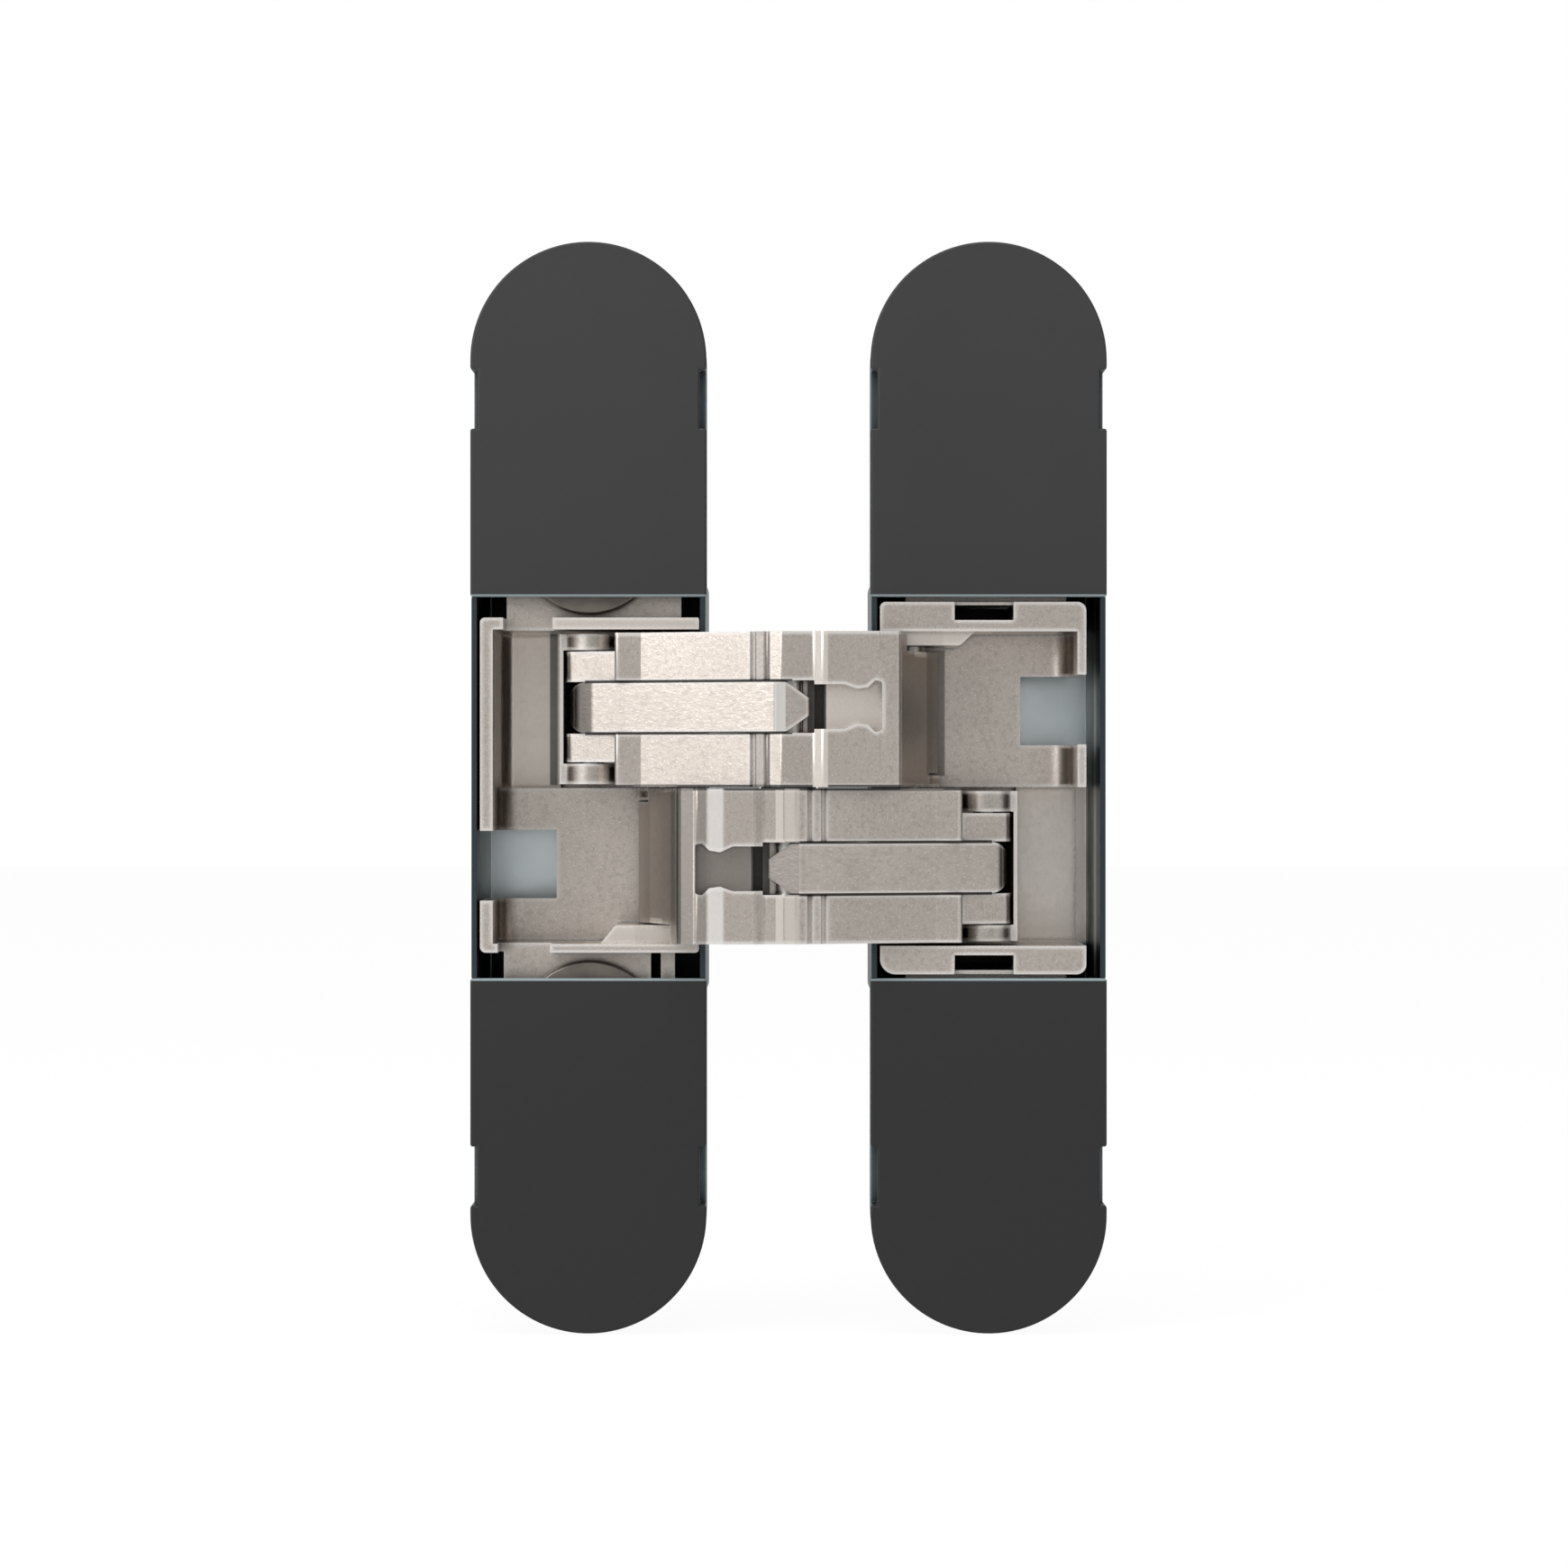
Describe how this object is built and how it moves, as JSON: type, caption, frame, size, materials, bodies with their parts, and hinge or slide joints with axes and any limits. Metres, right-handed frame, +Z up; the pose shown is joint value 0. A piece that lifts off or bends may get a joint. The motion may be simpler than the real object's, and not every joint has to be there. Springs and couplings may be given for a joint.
{
  "type": "concealed door hinge",
  "caption": "Concealed door hinge: two round-ended cases with snap covers, joined by crossing die-cast arms that fold into them, with height and side adjustment.",
  "frame": {"origin": "middle of the frame half's two wood screw holes, on the shoulder plane of the mortise (back of the case's end blocks)", "axes": "+X from the frame half to the door half, +Y into the wood, away from the faces, +Z up along the hinge"},
  "size_m": [0.0647, 0.0322, 0.111],
  "materials": {
    "nickel": "satin nickel on zinc die casting, fine speckle, light rounded edges",
    "leaf_steel": "ground steel leaf with light edges",
    "pin_steel": "turned steel, polished",
    "link_steel": "pressed steel, bright",
    "case_zinc": "dark blue-black passivated zinc, bluish edges",
    "disc_brown": "dark brown-grey sintered metal",
    "cover_charcoal": "satin charcoal",
    "screw_zinc": "zinc-plated screw"
  },
  "bodies": {
    "frame_case": {"frame_case": "case_zinc", "frame_upper_cover": "cover_charcoal", "frame_lower_cover": "cover_charcoal", "frame_clamp_screws": "screw_zinc", "frame_clamp_washers": "screw_zinc"},
    "frame_carriage": {"frame_carriage": "nickel", "frame_root_pin": "pin_steel", "frame_link_pin": "pin_steel"},
    "frame_upper_disc": {"frame_upper_disc": "disc_brown"},
    "frame_lower_disc": {"frame_lower_disc": "disc_brown"},
    "lower_arm": {"lower_arm": "nickel", "lower_leaf": "leaf_steel", "lower_arm_pin": "pin_steel", "centre_pin": "pin_steel", "centre_washer": "pin_steel"},
    "upper_arm": {"upper_arm": "nickel", "upper_leaf": "leaf_steel", "upper_arm_pin": "pin_steel"},
    "frame_link": {"frame_link": "link_steel"},
    "door_link": {"door_link": "link_steel"},
    "door_carriage": {"door_carriage": "nickel", "door_root_pin": "pin_steel", "door_link_pin": "pin_steel"},
    "door_upper_cam": {"door_upper_cam": "disc_brown"},
    "door_lower_cam": {"door_lower_cam": "disc_brown"},
    "door_case": {"door_case": "case_zinc", "door_upper_cover": "cover_charcoal", "door_lower_cover": "cover_charcoal", "door_clamp_screws": "screw_zinc", "door_clamp_washers": "screw_zinc"}
  },
  "joints": [
    {"name": "height_adjust", "type": "slide", "parent": "frame_case", "child": "frame_carriage", "axis": [0, 0, 1], "range_m": [-0.0014, 0.0014]},
    {"name": "frame_upper_disc_turn", "type": "hinge", "parent": "frame_carriage", "child": "frame_upper_disc", "pos_m": [0, -0.0075, 0.0251], "axis": [0, 1, 0], "range_deg": [-45, 45]},
    {"name": "frame_lower_disc_turn", "type": "hinge", "parent": "frame_carriage", "child": "frame_lower_disc", "pos_m": [0, -0.0075, -0.0251], "axis": [0, 1, 0], "range_deg": [-45, 45]},
    {"name": "frame_pivot", "type": "hinge", "parent": "frame_carriage", "child": "lower_arm", "pos_m": [0.00785, -0.0035, 0], "axis": [0, 0, -1], "range_deg": [0, 97.02]},
    {"name": "centre_pivot", "type": "hinge", "parent": "lower_arm", "child": "upper_arm", "pos_m": [0.02035, -0.015, 0], "axis": [0, 0, -1], "range_deg": [-14.1, 0]},
    {"name": "door_pivot", "type": "hinge", "parent": "upper_arm", "child": "door_carriage", "pos_m": [0.03285, -0.0035, 0], "axis": [0, 0, -1], "range_deg": [0, 97.1]},
    {"name": "frame_link_pivot", "type": "hinge", "parent": "upper_arm", "child": "frame_link", "pos_m": [0.00015, -0.007, 0], "axis": [0, 0, -1], "range_deg": [0, 1.6]},
    {"name": "door_link_pivot", "type": "hinge", "parent": "lower_arm", "child": "door_link", "pos_m": [0.04055, -0.007, 0], "axis": [0, 0, -1], "range_deg": [-1.6, 0]},
    {"name": "side_adjust", "type": "slide", "parent": "door_carriage", "child": "door_case", "axis": [1, 0, 0], "range_m": [-0.0012, 0]},
    {"name": "door_upper_cam_turn", "type": "hinge", "parent": "door_carriage", "child": "door_upper_cam", "pos_m": [0.0407, -0.0075, 0.028], "axis": [0, 1, 0], "range_deg": [0, 61]},
    {"name": "door_lower_cam_turn", "type": "hinge", "parent": "door_carriage", "child": "door_lower_cam", "pos_m": [0.0407, -0.0075, -0.028], "axis": [0, 1, 0], "range_deg": [0, 61]}
  ],
  "couplings": [
    {"joint": "centre_pivot", "follows": "frame_pivot", "ratio": -0.14479},
    {"joint": "door_pivot", "follows": "frame_pivot", "ratio": 1},
    {"joint": "frame_link_pivot", "follows": "frame_pivot", "ratio": 0.015563},
    {"joint": "door_link_pivot", "follows": "frame_pivot", "ratio": -0.015563},
    {"joint": "frame_upper_disc_turn", "follows": "height_adjust", "rad_per_m": 553.86},
    {"joint": "frame_lower_disc_turn", "follows": "height_adjust", "rad_per_m": 553.86},
    {"joint": "door_upper_cam_turn", "follows": "side_adjust", "rad_per_m": -872.66},
    {"joint": "door_lower_cam_turn", "follows": "side_adjust", "rad_per_m": -872.66}
  ]
}
